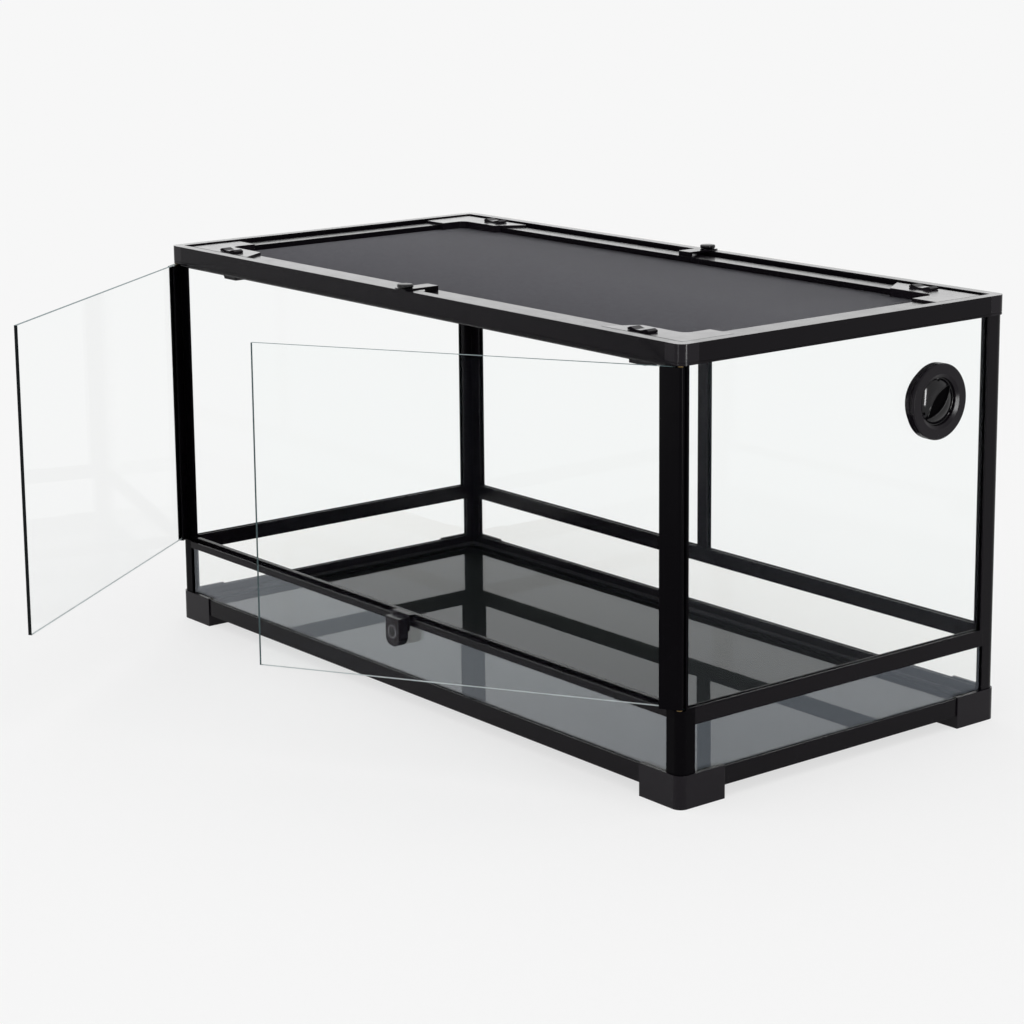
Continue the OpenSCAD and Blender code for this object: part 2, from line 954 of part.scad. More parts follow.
module latch(right, back) {
    half = latch_len / 2;
    foot_z = top_z - latch_drop;
    button_z = cap_top + run_gap;
    button_half = half + latch_button_over;
    button_out = latch_leg_out + latch_t - latch_button_w;
    color(plastic_colour)
        at_corner(right, back)
            translate([latch_in, 0, 0]) {
                block([-half, latch_leg_out, foot_z], [half, latch_leg_out + latch_t, button_z + 1]);
                fronted(latch_foot_out, latch_leg_out + 1)
                    polygon([
                        [half, foot_z], [half, foot_z + latch_foot_h],
                        [-half, foot_z + latch_foot_h], [5 - half, foot_z]
                    ]);
                fronted(button_out, button_out + latch_button_w)
                    polygon([
                        [-button_half, button_z], [button_half, button_z],
                        [button_half, button_z + 2], [button_half - 4, button_z + 3.5],
                        [button_half - 12, button_z + 1.5], [12 - button_half, button_z + 1.5],
                        [4 - button_half, button_z + 3.5], [-button_half, button_z + 2]
                    ]);
            }
}

// Hold-down clips over the rim, front and back

hold_z = tank_h + run_gap;
hold_step = rim_w + run_gap;
hold_low = rail_top;

module hold_clip() {
    difference() {
        block([-hold_w / 2, 0, hold_z], [hold_w / 2, hold_step + hold_t, hold_z + hold_t]);
        translate([0, knob_in, hold_z - cut])
            cylinder(h = hold_t + 2 * cut, r = stud_r + run_gap);
    }
    block([-hold_w / 2, hold_step, hold_low + 3], [hold_w / 2, hold_reach, hold_z + hold_t]);
    block([-hold_w / 2, hold_reach - hold_lip, hold_low], [hold_w / 2, hold_reach, hold_low + 3 + cut]);
}

module at_hold(back) {
    on_side(back ? 2 : 0)
        translate([back ? -hold_back_x : hold_x, 0, 0])
            children();
}

module cover_clips() {
    color(frame_colour)
        for (back = [false, true])
            at_hold(back)
                hold_clip();
}

module thumb_screw(back) {
    knob_z = hold_z + hold_t + run_gap;
    grooves = 16;
    color(plastic_colour)
        at_hold(back)
            translate([0, knob_in, 0]) {
                difference() {
                    translate([0, 0, knob_z])
                        cylinder(h = knob_h, r = knob_r);
                    for (turn = [0 : 360 / grooves : 359])
                        rotate([0, 0, turn])
                            translate([knob_r + 0.3, 0, knob_z - cut])
                                cylinder(h = knob_h + 2 * cut, r = 1, $fn = 24);
                }
                translate([0, 0, tank_h - stud_len])
                    cylinder(h = knob_z - tank_h + stud_len, r = stud_r);
            }
}

base_rail(0);  // base_rail_front
base_rail(1);  // base_rail_right
base_rail(2);  // base_rail_back
base_rail(3);  // base_rail_left
foot(false, false);  // foot_front_left
foot(true, false);  // foot_front_right
foot(false, true);  // foot_back_left
foot(true, true);  // foot_back_right
floor_glass();
floor_liner();
lower_posts_front();
lower_posts_back();
lower_pane(0, sill_z + sill_grip - pane_fit);  // lower_pane_front
lower_pane(1, mid_lower_seat - pane_fit);  // lower_pane_right
lower_pane(2, mid_lower_seat - pane_fit);  // lower_pane_back
lower_pane(3, mid_lower_seat - pane_fit);  // lower_pane_left
mid_rail(0);  // mid_rail_front
mid_rail(1);  // mid_rail_right
mid_rail(2);  // mid_rail_back
mid_rail(3);  // mid_rail_left
back_post(false);  // back_post_left
back_post(true);  // back_post_right
front_jamb(false);  // front_jamb_left
front_jamb(true);  // front_jamb_right
back_mullion();
upper_pane_left();
upper_pane_right();
upper_pane_back(false);  // upper_pane_back_left
upper_pane_back(true);  // upper_pane_back_right
top_rail(0);  // top_rail_front
top_rail(1);  // top_rail_right
top_rail(2);  // top_rail_back
top_rail(3);  // top_rail_left
top_corner(false, false);  // top_corner_front_left
top_corner(true, false);  // top_corner_front_right
top_corner(false, true);  // top_corner_back_left
top_corner(true, true);  // top_corner_back_right
door_glass(false);  // door_glass_left
door_glass(true);  // door_glass_right
hinge_strip(false);  // hinge_strip_left
hinge_strip(true);  // hinge_strip_right
hinge_pins(false);  // hinge_pins_left
hinge_pins(true);  // hinge_pins_right
lock_body();
lock_clip();
lock_plug();
lock_bolt();
port_flange();
port_ring();
port_dial();
cover_rails();
cover_corners();
cover_mesh();
latch(false, false);  // latch_front_left
latch(true, false);  // latch_front_right
latch(false, true);  // latch_back_left
latch(true, true);  // latch_back_right
cover_clips();
thumb_screw(false);  // thumb_screw_front
thumb_screw(true);  // thumb_screw_back
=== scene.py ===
import bpy
import json
import math
from mathutils import Matrix, Vector


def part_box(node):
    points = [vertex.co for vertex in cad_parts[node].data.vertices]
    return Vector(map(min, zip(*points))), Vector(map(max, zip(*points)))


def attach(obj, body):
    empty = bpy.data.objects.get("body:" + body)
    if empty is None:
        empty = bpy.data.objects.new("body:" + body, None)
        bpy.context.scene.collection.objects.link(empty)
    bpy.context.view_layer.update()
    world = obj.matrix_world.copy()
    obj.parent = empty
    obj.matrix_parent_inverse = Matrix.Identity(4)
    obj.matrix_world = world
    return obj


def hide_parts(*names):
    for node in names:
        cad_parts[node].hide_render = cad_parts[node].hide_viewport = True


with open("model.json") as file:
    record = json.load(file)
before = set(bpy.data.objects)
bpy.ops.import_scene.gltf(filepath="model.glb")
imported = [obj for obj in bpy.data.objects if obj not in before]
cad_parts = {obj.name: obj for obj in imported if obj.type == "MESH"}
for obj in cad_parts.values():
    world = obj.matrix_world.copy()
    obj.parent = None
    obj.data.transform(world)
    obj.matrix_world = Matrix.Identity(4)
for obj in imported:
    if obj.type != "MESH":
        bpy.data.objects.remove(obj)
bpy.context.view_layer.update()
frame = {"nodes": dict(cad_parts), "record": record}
nodes = frame["nodes"]
mm = 0.001
print("frame loaded:", len(nodes), "nodes")


# Shader helpers

class Sock:
    # Wraps one output socket, so that sums, products and comparisons add Math nodes
    def __init__(self, paint, link):
        self.paint = paint
        self.link = link

    def maths(self, operation, *terms):
        return self.paint.node("ShaderNodeMath", {"operation": operation}, dict(enumerate(terms)))

    def __add__(self, other):
        return self.maths("ADD", self, other)

    def __radd__(self, other):
        return self.maths("ADD", other, self)

    def __sub__(self, other):
        return self.maths("SUBTRACT", self, other)

    def __rsub__(self, other):
        return self.maths("SUBTRACT", other, self)

    def __mul__(self, other):
        return self.maths("MULTIPLY", self, other)

    def __rmul__(self, other):
        return self.maths("MULTIPLY", other, self)

    def __abs__(self):
        return self.maths("ABSOLUTE", self)

    def __lt__(self, other):
        return self.maths("LESS_THAN", self, other)

    def __gt__(self, other):
        return self.maths("GREATER_THAN", self, other)


class Paint:
    # The node tree of one material or of the world
    def __init__(self, owner):
        self.owner = owner
        owner.use_nodes = True
        self.tree = owner.node_tree
        self.tree.nodes.clear()

    def node(self, kind, settings=None, sockets=None, out=0):
        made = self.tree.nodes.new(kind)
        for name, value in (settings or {}).items():
            if name == "stops":
                self.setStops(made.color_ramp, value)
            else:
                setattr(made, name, value)
        for name, value in (sockets or {}).items():
            if isinstance(value, Sock):
                self.tree.links.new(value.link, made.inputs[name])
            else:
                made.inputs[name].default_value = value
        return Sock(self, made.outputs[out]) if made.outputs else made

    def setStops(self, ramp, stops):
        while len(ramp.elements) < len(stops):
            ramp.elements.new(1)
        for element, (place, shade) in zip(ramp.elements, stops):
            element.position = place
            element.color = (shade, shade, shade, 1)

    def mix(self, factor, first, second):
        # 6, 7 and 2 are this node's colour sockets, which share their names with others
        sockets = {0: factor, 6: first, 7: second}
        return self.node("ShaderNodeMix", {"data_type": "RGBA"}, sockets, 2)

    def mixShader(self, factor, first, second):
        return self.node("ShaderNodeMixShader", None, {0: factor, 1: first, 2: second})

    def noise(self, scale, detail, stretch=None):
        where = self.node("ShaderNodeTexCoord", out="Object")
        if stretch:
            where = self.node("ShaderNodeMapping", None, {"Vector": where, "Scale": stretch})
        sockets = {"Vector": where, "Scale": scale, "Detail": detail}
        return self.node("ShaderNodeTexNoise", None, sockets)

    def ramp(self, value, low, high):
        return self.node("ShaderNodeValToRGB", {"stops": [(low, 0), (high, 1)]}, {0: value})

    def roundEdges(self, radius):
        return self.node("ShaderNodeBevel", {"samples": 4}, {"Radius": radius})

    def bump(self, height, distance, normal=None):
        sockets = {"Height": height, "Distance": distance}
        if normal:
            sockets["Normal"] = normal
        return self.node("ShaderNodeBump", None, sockets)

    def principled(self, sockets):
        return self.node("ShaderNodeBsdfPrincipled", None, sockets)

    def finish(self, shader):
        kind = "World" if isinstance(self.owner, bpy.types.World) else "Material"
        self.node("ShaderNodeOutput" + kind, None, {"Surface": shader})
        return self.owner


def newPaint(name):
    return Paint(bpy.data.materials.new(name))


def rgba(colour):
    return (*colour, 1)


def between(span, factor):
    low, high = span
    return low + (high - low) * factor


# Mesh helpers

def meshObject(name, verts, faces):
    mesh = bpy.data.meshes.new(name)
    mesh.from_pydata(verts, [], faces)
    mesh.update()
    obj = bpy.data.objects.new(name, mesh)
    bpy.context.scene.collection.objects.link(obj)
    return obj


def smoothObject(name, verts, faces, sharpAngle=None):
    obj = meshObject(name, verts, faces)
    obj.data.shade_smooth()
    if sharpAngle:
        obj.data.set_sharp_from_angle(angle=math.radians(sharpAngle))
    return obj


def turns(count):
    return [2 * math.pi * i / count for i in range(count)]


def joinRings(faces, near, far, count, swap=False):
    # Quads between two rings of points; swap turns them over
    for i in range(count):
        j = (i + 1) % count
        if swap:
            faces.append((near + i, far + i, far + j, near + j))
        else:
            faces.append((near + i, near + j, far + j, far + i))


# Camera

camera = {
    "place": (2.304521, -1.898511, 0.906200),  # metres
    "azimuth": 51.5627,  # degrees from the front
    "elevation": 11.4847,
    "roll": -0.5514,
    "sensor": 36,
    "focal": 94.362,
    "shiftUp": -0.0996,
    "farLimit": 200,
}


def makeCamera(c):
    azimuth, elevation, roll = (math.radians(c[k]) for k in ("azimuth", "elevation", "roll"))
    ahead = -Vector((math.sin(azimuth) * math.cos(elevation),
                     -math.cos(azimuth) * math.cos(elevation),
                     math.sin(elevation)))
    level = ahead.cross(Vector((0, 0, 1))).normalized()
    up = level.cross(ahead)
    right = level * math.cos(roll) + up * math.sin(roll)
    top = up * math.cos(roll) - level * math.sin(roll)
    data = bpy.data.cameras.new("camera")
    data.sensor_width = c["sensor"]
    data.sensor_fit = "HORIZONTAL"
    data.lens = c["focal"]
    data.shift_y = c["shiftUp"]
    data.clip_end = c["farLimit"]
    obj = bpy.data.objects.new("camera", data)
    bpy.context.scene.collection.objects.link(obj)
    turn = Matrix((right, top, -ahead)).transposed().to_4x4()
    obj.matrix_world = Matrix.Translation(c["place"]) @ turn
    bpy.context.scene.camera = obj


makeCamera(camera)


# Floor and light

studio = {
    "light": 1.0,
    "backdrop": 0.93,
    "floorHalf": 40.0,
    "paperCloud": (0.7, 2),  # noise scale and detail
    "paperVariation": 0.003,
    "paperRoughness": 0.9,
    "shadowLift": 0.72,  # how much of the floor's shadow is taken away
    # glow cards that only the gloss shows: place, width and height, glow
    "cards": {
        "farCard": ((-3.1, 2.5, 1.3), (3.6, 1.2), 1.0),
        "sideStrip": ((1.75, 0.0, 0.62), (0.14, 1.2), 34.0),
        "frontStrip": ((0.65, -1.6, 0.62), (0.10, 1.2), 12.0),
    },
}

# The far card lights what is in coated, the two strips what is in moulded
coated = bpy.data.collections.new("coated")
moulded = bpy.data.collections.new("moulded")


def seenRays(paint):
    # 1 where the camera looks, straight or by way of gloss or glass
    seen = (paint.node("ShaderNodeLightPath", out="Is Camera Ray")
            + paint.node("ShaderNodeLightPath", out="Is Glossy Ray")
            + paint.node("ShaderNodeLightPath", out="Is Transmission Ray"))
    return seen.maths("MINIMUM", seen, 1.0)


def makeFloor(s):
    paint = newPaint("floorPaper")
    shade = s["backdrop"] / s["light"]
    darker, lighter = shade - s["paperVariation"], shade + s["paperVariation"]
    cloud = paint.noise(*s["paperCloud"])
    paper = paint.principled({
        "Base Color": paint.mix(cloud, rgba((darker,) * 3), rgba((lighter,) * 3)),
        "Roughness": s["paperRoughness"],
        "Specular IOR Level": 0.0})
    glow = paint.node("ShaderNodeEmission", None, {"Color": rgba((s["backdrop"],) * 3)})
    material = paint.finish(paint.mixShader(s["shadowLift"] * seenRays(paint), paper, glow))
    h = s["floorHalf"]
    floor = meshObject("floor", [(-h, -h, 0), (h, -h, 0), (h, h, 0), (-h, h, 0)], [(0, 1, 2, 3)])
    floor.data.materials.append(material)


def addCard(name, place, size, glow, lit):
    data = bpy.data.lights.new(name, "AREA")
    data.shape = "RECTANGLE"
    data.size, data.size_y = size
    data.energy = glow * math.pi * size[0] * size[1]
    card = bpy.data.objects.new(name, data)
    bpy.context.scene.collection.objects.link(card)
    card.location = place
    aim = Vector((0, 0, place[2])) - Vector(place)
    card.rotation_euler = aim.to_track_quat("-Z", "Y").to_euler()
    card.visible_camera = False
    card.visible_diffuse = False
    card.visible_transmission = False
    card.light_linking.receiver_collection = lit


def makeLight(s):
    world = bpy.data.worlds.new("studio")
    bpy.context.scene.world = world
    paint = Paint(world)
    strength = s["light"] - (s["light"] - s["backdrop"]) * seenRays(paint)
    sockets = {"Color": (1, 1, 1, 1), "Strength": strength}
    paint.finish(paint.node("ShaderNodeBackground", None, sockets))
    for name, (place, size, glow) in s["cards"].items():
        addCard(name, place, size, glow, coated if name == "farCard" else moulded)


makeFloor(studio)
makeLight(studio)
bpy.context.scene.view_settings.view_transform = "Standard"
print("studio ready")


# Black finishes, which share one kind of cloud, smudge and grain

blackTexture = {
    "cloud": (14, 4),  # noise scale and detail
    "smudge": (45, 5),
    "smudgeSpan": (0.3, 0.7),
    "grain": (1500, 2),
}
blackCoat = {
    "dark": (0.0037, 0.0028, 0.0042),
    "light": (0.0049, 0.0038, 0.0055),
    "roughness": (0.17, 0.21),
    "specular": 0.082,
    "edgeRadius": 0.5 * mm,
    "grain": 0.004 * mm,
}
# The frame's black coat painted darker and with less gloss: painted shade for the hinge strips,
# front jambs and front lower posts
deepCoat = {
    "dark": (0.0020, 0.0017, 0.0024),
    "light": (0.0029, 0.0025, 0.0034),
    "roughness": (0.17, 0.21),
    "specular": 0.022,
    "edgeRadius": 0.5 * mm,
    "grain": 0.004 * mm,
}
mouldedPlastic = {
    "dark": (0.0061, 0.0045, 0.0068),
    "light": (0.0078, 0.0059, 0.0087),
    "roughness": (0.17, 0.22),
    "specular": 0.14,
    "edgeRadius": 0.6 * mm,
    "grain": 0.006 * mm,
}
glossyPlastic = {
    "dark": (0.0034, 0.0030, 0.0040),
    "light": (0.0046, 0.0041, 0.0053),
    "roughness": (0.09, 0.13),
    "specular": 0.26,
    "edgeRadius": 0.4 * mm,
    "grain": 0.003 * mm,
}
# Near-black and nearly without gloss: painted shade for the hollow of the dial's grip
hollowShadeBlack = {
    "dark": (0.0008, 0.0007, 0.0010),
    "light": (0.0016, 0.0014, 0.0018),
    "roughness": (0.25, 0.35),
    "specular": 0.008,
    "edgeRadius": 0.2 * mm,
    "grain": 0.004 * mm,
}


def blackFinish(name, f):
    paint = newPaint(name)
    cloud = paint.noise(*blackTexture["cloud"])
    smudge = paint.ramp(paint.noise(*blackTexture["smudge"]), *blackTexture["smudgeSpan"])
    grain = paint.noise(*blackTexture["grain"])
    edges = paint.roundEdges(f["edgeRadius"])
    return paint.finish(paint.principled({
        "Base Color": paint.mix(cloud, rgba(f["dark"]), rgba(f["light"])),
        "Roughness": between(f["roughness"], smudge),
        "Specular IOR Level": f["specular"],
        "Normal": paint.bump(grain, f["grain"], edges)}))


# Metals, with brush marks along the axis that has the small scale in stretch

satinSteel = {
    "dark": (0.17, 0.165, 0.175),
    "light": (0.27, 0.262, 0.28),
    "roughness": (0.18, 0.30),
    "stretch": (0.1, 1, 1),
}
pinBrass = {
    "dark": (0.12, 0.082, 0.035),
    "light": (0.20, 0.14, 0.065),
    "roughness": (0.22, 0.36),
    "stretch": (1, 1, 0.1),
}
metalTexture = {
    "brush": (260, 4),
    "smudge": (60, 3),
    "edgeRadius": 0.2 * mm,
    "grain": 0.01 * mm,
}


def metalFinish(name, f):
    paint = newPaint(name)
    brush = paint.noise(*metalTexture["brush"], f["stretch"])
    edges = paint.roundEdges(metalTexture["edgeRadius"])
    return paint.finish(paint.principled({
        "Base Color": paint.mix(brush, rgba(f["dark"]), rgba(f["light"])),
        "Metallic": 1.0,
        "Roughness": between(f["roughness"], paint.noise(*metalTexture["smudge"])),
        "Normal": paint.bump(brush, metalTexture["grain"], edges)}))


# Floor liner, which the seal bead shares, and the screen's wire

matteLiner = {
    "dark": (0.006, 0.006, 0.0065),
    "light": (0.011, 0.011, 0.012),
    "roughness": (0.5, 0.7),
    "specular": 0.2,
    "cloud": (30, 4),
    "fleck": (900, 3),
    "grain": 0.01 * mm,
}
wovenWire = {
    "dark": (0.112, 0.111, 0.124),
    "light": (0.158, 0.157, 0.173),
    "roughness": (0.45, 0.6),
    "specular": 0.15,
    "tone": (180, 3),
}


def linerFinish(f):
    paint = newPaint("matteLiner")
    fleck = paint.noise(*f["fleck"])
    return paint.finish(paint.principled({
        "Base Color": paint.mix(paint.noise(*f["cloud"]), rgba(f["dark"]), rgba(f["light"])),
        "Roughness": between(f["roughness"], fleck),
        "Specular IOR Level": f["specular"],
        "Normal": paint.bump(fleck, f["grain"])}))


def wireFinish(w):
    paint = newPaint("wovenWire")
    tone = paint.noise(*w["tone"])
    return paint.finish(paint.principled({
        "Base Color": paint.mix(tone, rgba(w["dark"]), rgba(w["light"])),
        "Roughness": between(w["roughness"], tone),
        "Specular IOR Level": w["specular"]}))


# Glass: clear across a pane, coloured on its cut edges, where the glass's teal and painted light
# and shade are mixed

clearGlass = {
    "face": (0.992, 1.0, 0.998),
    "faceShade": (0.982, 0.994, 0.990),
    "faceCloud": (6, 3),
    "lampPass": (0.95, 0.98, 0.97),  # what a pane lets through to what it shades
    "tint": (0.70, 0.82, 1.0),
    "ior": {"door_glass": 1.085, "upper_pane": 1.14, "lower_pane": 1.50, "floor_glass": 1.25},
    # cut edges: standing ones by pane, each painted lighter or darker as that pane is lit, then
    # the top ones and the bottom ones, painted near-white as a highlight
    "upright": {
        "door_glass_left": (0.010, 0.012, 0.013),
        "door_glass_right": (0.13, 0.19, 0.20),
        "upper_pane": (0.05, 0.15, 0.16),
        "lower_pane": (0.03, 0.08, 0.085),
        "floor_glass": (0.02, 0.05, 0.05),
    },
    "above": (0.17, 0.24, 0.25),
    "below": (0.84, 0.92, 0.93),
    "edgeCloud": (90, 3),
    "edgeShade": 0.3,
    "edgeRoughness": 0.12,
    "edgeHaze": 0.1,
    "edgeSpecular": 0.03,
    "edgeTurn": 0.8,  # a face turned past this cosine from the pane's own is an edge
}
glassMade = {}


def broadNormal(node):
    return max(nodes[node].data.polygons, key=lambda p: p.area).normal.copy()


def glassFinish(g, node):
    facing = broadNormal(node)
    kind = next(k for k in g["ior"] if node.startswith(k))
    edgeKind = next(k for k in g["upright"] if node.startswith(k))
    side = [str(round(abs(v) * 100)) for v in facing]
    key = "_".join(["clearGlass", kind, edgeKind] + side)
    if key in glassMade:
        return glassMade[key]
    paint = newPaint(key)
    normal = paint.node("ShaderNodeTexCoord", out="Normal")
    across = paint.node("ShaderNodeVectorMath", {"operation": "DOT_PRODUCT"},
                        {0: normal, 1: facing}, "Value")
    rise = paint.node("ShaderNodeSeparateXYZ", None, {0: normal}, "Z")
    box = paint.node("ShaderNodeTexCoord", out="Generated")
    height = paint.node("ShaderNodeSeparateXYZ", None, {0: box}, "Z")
    cloud = paint.noise(*g["edgeCloud"])
    # Top and bottom edges: the bottom ones carry the near-white painted highlight
    level = paint.mix(height > 0.5, rgba(g["below"]), rgba(g["above"]))
    edge = paint.mix(abs(rise) > 0.5, rgba(g["upright"][edgeKind]), level)
    rim = paint.principled({
        "Base Color": paint.mix(g["edgeShade"] * cloud, edge, (0.0, 0.0, 0.0, 1.0)),
        "Roughness": g["edgeRoughness"] + g["edgeHaze"] * cloud,
        "Specular IOR Level": g["edgeSpecular"]})
    face = paint.mix(paint.noise(*g["faceCloud"]), rgba(g["face"]), rgba(g["faceShade"]))
    pane = paint.principled({
        "Specular Tint": rgba(g["tint"]),
        "Base Color": face,
        "Roughness": 0.0,
        "IOR": g["ior"][kind],
        "Transmission Weight": 1.0})
    body = paint.mixShader(abs(across) < g["edgeTurn"], pane, rim)
    clear = paint.node("ShaderNodeBsdfTransparent", None, {"Color": rgba(g["lampPass"])})
    lampRay = paint.node("ShaderNodeLightPath", out="Is Shadow Ray")
    glassMade[key] = paint.finish(paint.mixShader(lampRay, body, clear))
    return glassMade[key]


# Who gets which finish

finishes = {
    "frame": blackFinish("blackCoat", blackCoat),
    "deep": blackFinish("deepCoat", deepCoat),
    "plastic": blackFinish("mouldedPlastic", mouldedPlastic),
    "gloss": blackFinish("glossyPlastic", glossyPlastic),
    "hollowShade": blackFinish("hollowShadeBlack", hollowShadeBlack),
    "liner": linerFinish(matteLiner),
    "brass": metalFinish("pinBrass", pinBrass),
    "steel": metalFinish("satinSteel", satinSteel),
    "mesh": wireFinish(wovenWire),
}
# These parts get the painted shade of the darker black coat
deepNodes = ("hinge_strip", "front_jamb", "lower_posts_front")  # the darkest of the frame


def finishFor(node, slot):
    if slot == "glass":
        return glassFinish(clearGlass, node)
    if node == "lock_plug":
        return finishes["gloss"]
    if node.startswith(deepNodes):
        return finishes["deep"]
    return finishes[slot]


for part in frame["record"]["subparts"]:
    node, slot = part["node"], part["material_slot"]
    if slot != "glass":
        coated.objects.link(nodes[node])
    if slot == "plastic" and not node.startswith("lock") or node.startswith("top_corner"):
        moulded.objects.link(nodes[node])
    nodes[node].data.materials.clear()
    nodes[node].data.materials.append(finishFor(node, slot))
print("finishes set")


# Screen of the cover: straight wires in two layers

screen = {
    "pitch": 1.5 * mm,
    "wireRadius": 0.165 * mm,
    "wireSides": 6,
    "layerGap": 1.05,  # a layer's middle lies this many radii inside the mesh's thickness
    "margin": 0.2 * mm,
}


def addTube(verts, faces, start, end, radius, sides):
    axis = (end - start).normalized()
    across = axis.orthogonal().normalized()
    other = axis.cross(across)
    first = len(verts)
    for centre in (start, end):
        for turn in turns(sides):
            verts.append(centre + (across * math.cos(turn) + other * math.sin(turn)) * radius)
    joinRings(faces, first, first + sides, sides)
    faces.append(tuple(first + i for i in reversed(range(sides))))
    faces.append(tuple(first + sides + i for i in range(sides)))


def makeScreen(s):
    low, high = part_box("cover_mesh")
    verts, faces = [], []
    reach = high - Vector((s["margin"], s["margin"], 0))
    inside = s["layerGap"] * s["wireRadius"]
    layers = {0: high.z - inside, 1: low.z + inside}  # the axis that a layer's wires step along
    for axis, height in layers.items():
        count = int(2 * reach[axis] / s["pitch"])
        for i in range(count + 1):
            ends = []
            for side in (-1, 1):
                end = Vector((0, 0, height))
                end[axis] = (i - count / 2) * s["pitch"]
                end[1 - axis] = side * reach[1 - axis]
                ends.append(end)
            addTube(verts, faces, *ends, s["wireRadius"], s["wireSides"])
    weave = smoothObject("screen_weave", verts, faces)
    weave.data.materials.append(finishes["mesh"])
    coated.objects.link(weave)
    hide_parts("cover_mesh")
    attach(weave, "screen_cover")


makeScreen(screen)
print("screen woven")


# Seal bead on the floor pane, along the rails: a hollow quarter round

floorSeal = {
    "inset": 6.8 * mm,  # from the pane's edge to the bead's outer side
    "width": 3.2 * mm,
    "height": 3.0 * mm,
    "hollow": 0.92,  # how far the curve sinks towards the corner
    "lift": 0.05 * mm,
    "steps": 5,
}


def makeFloorSeal(s):
    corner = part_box("floor_glass")[1]
    halfX, halfY = corner.x - s["inset"], corner.y - s["inset"]
    outline = [(0.0, 0.0)]
    for i in range(s["steps"] + 1):
        turn = math.pi / 2 * i / s["steps"]
        outline.append((s["width"] * (1 - math.sin(turn) * s["hollow"]),
                        s["height"] * (1 - math.cos(turn) * s["hollow"])))
    verts, faces = [], []
    for sx, sy in ((-1, -1), (1, -1), (1, 1), (-1, 1)):
        for inward, rise in outline:
            z = corner.z + s["lift"] + rise
            verts.append((sx * (halfX - inward), sy * (halfY - inward), z))
    n = len(outline)
    for k in range(4):
        joinRings(faces, k * n, (k + 1) % 4 * n, n, True)
    bead = smoothObject("floor_seal", verts, faces)
    bead.data.materials.append(finishes["liner"])
    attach(bead, "tank")


makeFloorSeal(floorSeal)
print("floor sealed")


# Dial of the cable port: two rounded halves with a hollow leaf-shaped grip between them

dial = {
    # heights above the pane's outer face
    "rim": 5.2 * mm,
    "rimUnder": 4.4 * mm,
    "domeFoot": 4.7 * mm,
    "domeTop": 9.3 * mm,
    "grip": 9.7 * mm,
    "plateUnder": 1.6 * mm,
    "skirtEnd": -4.9 * mm,
    "hollowShadeFrom": 2.0 * mm,  # faces above this may get the grip hollow's painted shade
    # radii, and steps in from the dial's edge
    "domeFlat": 12.0 * mm,
    "domeRadius": 24.2 * mm,
    "hub": 0.05 * mm,
    "hubShare": 0.002,
    "skirtInset": 3.4 * mm,
    "skirtWall": 2.0 * mm,
    # the leaf and its raised lip
    "gripTurn": 45,
    "gripHalf": 23.0 * mm,
    "gripWidth": 8.2 * mm,
    "gripLip": 1.0 * mm,
    "lipRise": 0.8,
    "lipEnd": 1.5 * mm,
    "gripDeep": 1.6 * mm,
    "hollowFrom": 0.4,
    "hollowSlope": 0.8 * mm,
    # three notches in the rim
    "notchTurns": (88, 208, 328),
    "notchWidth": 1.5 * mm,
    "notchLong": 3.6 * mm,
    "notchDeep": 0.2 * mm,
    "rings": 72,
    "spokes": 240,
    "sharpAngle": 50,
}


def ease(value):
    value = min(1.0, max(0.0, value))
    return value * value * (3 - 2 * value)


def alongAndAside(degrees, across, up):
    # A point's distance along a line through the centre, and to the side of it
    turn = math.radians(degrees)
    along = across * math.cos(turn) + up * math.sin(turn)
    return along, abs(up * math.cos(turn) - across * math.sin(turn))


def besideGrip(d, across, up):
    # How far outside the leaf's outline a point is, and how far along the leaf
    along, aside = alongAndAside(d["gripTurn"], across, up)
    along = abs(along)
    return aside - d["gripWidth"] * max(0.0, 1 - (along / d["gripHalf"]) ** 2), along


def dialHeight(d, across, up, outer):
    for notch in d["notchTurns"]:
        along, aside = alongAndAside(notch, across, up)
        if aside < d["notchWidth"] and along > outer - d["notchLong"]:
            return d["domeFoot"] - d["notchDeep"]
    radius = math.hypot(across, up)
    if radius > d["domeRadius"]:
        return d["rim"]
    slope = max(0.0, radius - d["domeFlat"]) / (d["domeRadius"] - d["domeFlat"])
    dome = d["domeFoot"] + (d["domeTop"] - d["domeFoot"]) * (1 - slope ** 2)
    beside, along = besideGrip(d, across, up)
    lip = ease(1 - abs(beside) / d["gripLip"]) * ease((d["gripHalf"] - along) / d["lipEnd"])
    hollow = ease((-beside - d["hollowFrom"] * d["gripLip"]) / d["hollowSlope"])
    return dome + (d["grip"] - dome) * lip * d["lipRise"] - d["gripDeep"] * hollow


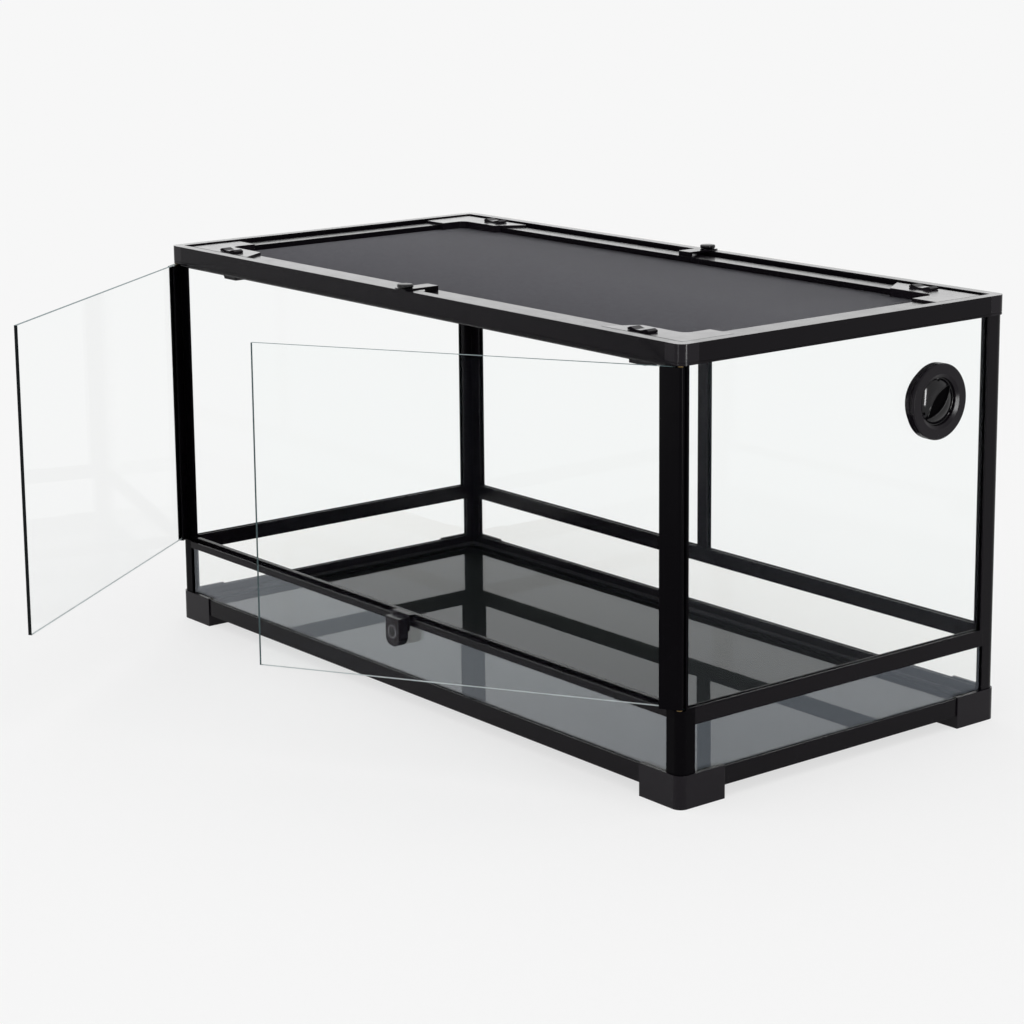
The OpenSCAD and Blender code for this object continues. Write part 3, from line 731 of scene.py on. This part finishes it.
def makeDial(d):
    low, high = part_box("port_dial")
    centre = (low + high) / 2
    outer = (high.y - low.y) / 2
    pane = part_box("upper_pane_right")[1].x
    verts, faces = [], []
    n = d["spokes"]

    def addRing(radius, height=None):
        for turn in turns(n):
            across, up = radius * math.cos(turn), radius * math.sin(turn)
            rise = dialHeight(d, across, up, outer) if height is None else height
            verts.append((pane + rise, centre.y + across, centre.z + up))

    for ring in range(d["rings"] + 1):
        addRing(outer * max(d["hubShare"], ring / d["rings"]))
    addRing(outer, d["rimUnder"])
    skirt = outer - d["skirtInset"]
    inside = skirt - d["skirtWall"]
    addRing(skirt, d["rimUnder"])
    addRing(skirt, d["skirtEnd"])
    addRing(inside, d["skirtEnd"])
    addRing(inside, d["plateUnder"])
    addRing(d["hub"], d["plateUnder"])
    last = len(verts) - n
    for start in range(0, last, n):
        joinRings(faces, start, start + n, n, True)
    faces.append(tuple(reversed(range(n))))
    faces.append(tuple(last + i for i in range(n)))
    knob = smoothObject("dial_grip", verts, faces, d["sharpAngle"])
    knob.data.materials.append(finishes["gloss"])
    knob.data.materials.append(finishes["hollowShade"])
    # Faces inside the leaf's hollow get the near-black painted shade
    for face in knob.data.polygons:
        if face.center.x > pane + d["hollowShadeFrom"]:
            across, up = face.center.y - centre.y, face.center.z - centre.z
            beside = besideGrip(d, across, up)[0]
            face.material_index = int(beside < -d["hollowFrom"] * d["gripLip"])
    moulded.objects.link(knob)
    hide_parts("port_dial")
    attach(knob, "port_closure")


makeDial(dial)


# Nut that holds the port from inside the pane, grooved for the fingers

nut = {
    "edge": 0.8 * mm,
    "boreInset": 10.1 * mm,  # from the flange's edge to the nut's bore
    "grooves": 48,
    "grooveDepth": 0.25 * mm,
    "steps": 288,
    "sharpAngle": 40,
}


def makeNut(t):
    low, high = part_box("port_ring")
    centre = (low + high) / 2
    outer = (high.y - low.y) / 2
    flangeLow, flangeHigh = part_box("port_flange")
    bore = (flangeHigh.y - flangeLow.y) / 2 - t["boreInset"]
    face = outer - t["edge"]
    # radius, place along x, and 1 where the grooves are
    rows = ((bore, low.x, 0), (face, low.x, 0), (outer, low.x + t["edge"], 1),
            (outer, high.x - t["edge"], 1), (face, high.x, 0), (bore, high.x, 0))
    verts, faces = [], []
    n = t["steps"]
    for radius, x, grooved in rows:
        for turn in turns(n):
            groove = t["grooveDepth"] * max(0.0, math.cos(t["grooves"] * turn))
            r = radius - grooved * groove
            verts.append((x, centre.y + r * math.cos(turn), centre.z + r * math.sin(turn)))
    for k in range(len(rows)):
        joinRings(faces, k * n, (k + 1) % len(rows) * n, n)
    ring = smoothObject("port_nut", verts, faces, t["sharpAngle"])
    ring.data.materials.append(finishes["plastic"])
    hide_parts("port_ring")
    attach(ring, "tank")


makeNut(nut)
print("port shaped")


# Thumb screws: knurled heads with a domed top, on a plain stud

screwHead = {
    # height in mm above the head's underside, then shares of the radius and of the knurls
    "outline": ((0.0, 0.88, 0.3), (0.5, 0.95, 1.0), (0.9, 1.0, 1.0), (3.4, 1.0, 1.0),
                (3.9, 0.95, 1.0), (4.2, 0.84, 0.3), (4.4, 0.55, 0.3), (4.5, 0.02, 0.3)),
    "knurls": 20,
    "knurlDepth": 0.07,  # as a share of the radius
    "studRadius": 2.0 * mm,
    "steps": 160,
    "sharpAngle": 60,
}


def makeScrewHead(s, node, body, name):
    low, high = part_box(node)
    centre = (low + high) / 2
    full = (high.x - low.x) / 2
    under = high.z - s["outline"][-1][0] * mm
    rows = [(s["studRadius"], low.z, 0.0), (s["studRadius"], under, 0.0)]
    for height, share, knurl in s["outline"]:
        rows.append((full * share, under + height * mm, knurl * s["knurlDepth"]))
    verts, faces = [], []
    n = s["steps"]
    for radius, z, flute in rows:
        for turn in turns(n):
            r = radius * (1 - flute * max(0.0, math.cos(s["knurls"] * turn)) ** 2)
            verts.append((centre.x + r * math.cos(turn), centre.y + r * math.sin(turn), z))
    last = (len(rows) - 1) * n
    for start in range(0, last, n):
        joinRings(faces, start, start + n, n)
    faces.append(tuple(reversed(range(n))))
    faces.append(tuple(last + i for i in range(n)))
    head = smoothObject(name, verts, faces, s["sharpAngle"])
    head.data.materials.append(finishes["gloss"])
    moulded.objects.link(head)
    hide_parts(node)
    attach(head, body)


makeScrewHead(screwHead, "thumb_screw_front", "front_thumb_screw", "screw_head_front")
makeScrewHead(screwHead, "thumb_screw_back", "back_thumb_screw", "screw_head_back")
print("screw heads turned")


# Small bead along the front top rail

railBead = {"radius": 0.6 * mm, "rise": 4.0 * mm, "sides": 12, "sharpAngle": 60}


def makeRailBead(b):
    low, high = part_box("top_rail_front")
    z = low.z + b["rise"]
    start, end = Vector((low.x, low.y, z)), Vector((high.x, low.y, z))
    verts, faces = [], []
    addTube(verts, faces, start, end, b["radius"], b["sides"])
    bead = smoothObject("rail_bead", verts, faces, b["sharpAngle"])
    bead.data.materials.append(finishes["gloss"])
    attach(bead, "tank")


makeRailBead(railBead)


# Bright rim round the lock's plug

plugRing = {"radius": 6.8 * mm, "wire": 0.55 * mm, "steps": 48, "sides": 10}


def makePlugRing(p):
    low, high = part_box("lock_plug")
    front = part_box("lock_body")[0].y
    centre = Vector(((low.x + high.x) / 2, front, (low.z + high.z) / 2))
    ahead = Vector((0, 1, 0))
    verts, faces = [], []
    n = p["sides"]
    for turn in turns(p["steps"]):
        outward = Vector((math.cos(turn), 0, math.sin(turn)))
        middle = centre + outward * p["radius"]
        for around in turns(n):
            away = outward * math.cos(around) + ahead * math.sin(around)
            verts.append(middle + away * p["wire"])
    for k in range(p["steps"]):
        joinRings(faces, k * n, (k + 1) % p["steps"] * n, n, True)
    ring = smoothObject("plug_ring", verts, faces)
    ring.data.materials.append(finishes["steel"])
    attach(ring, "tank")


makePlugRing(plugRing)
print("trim added")
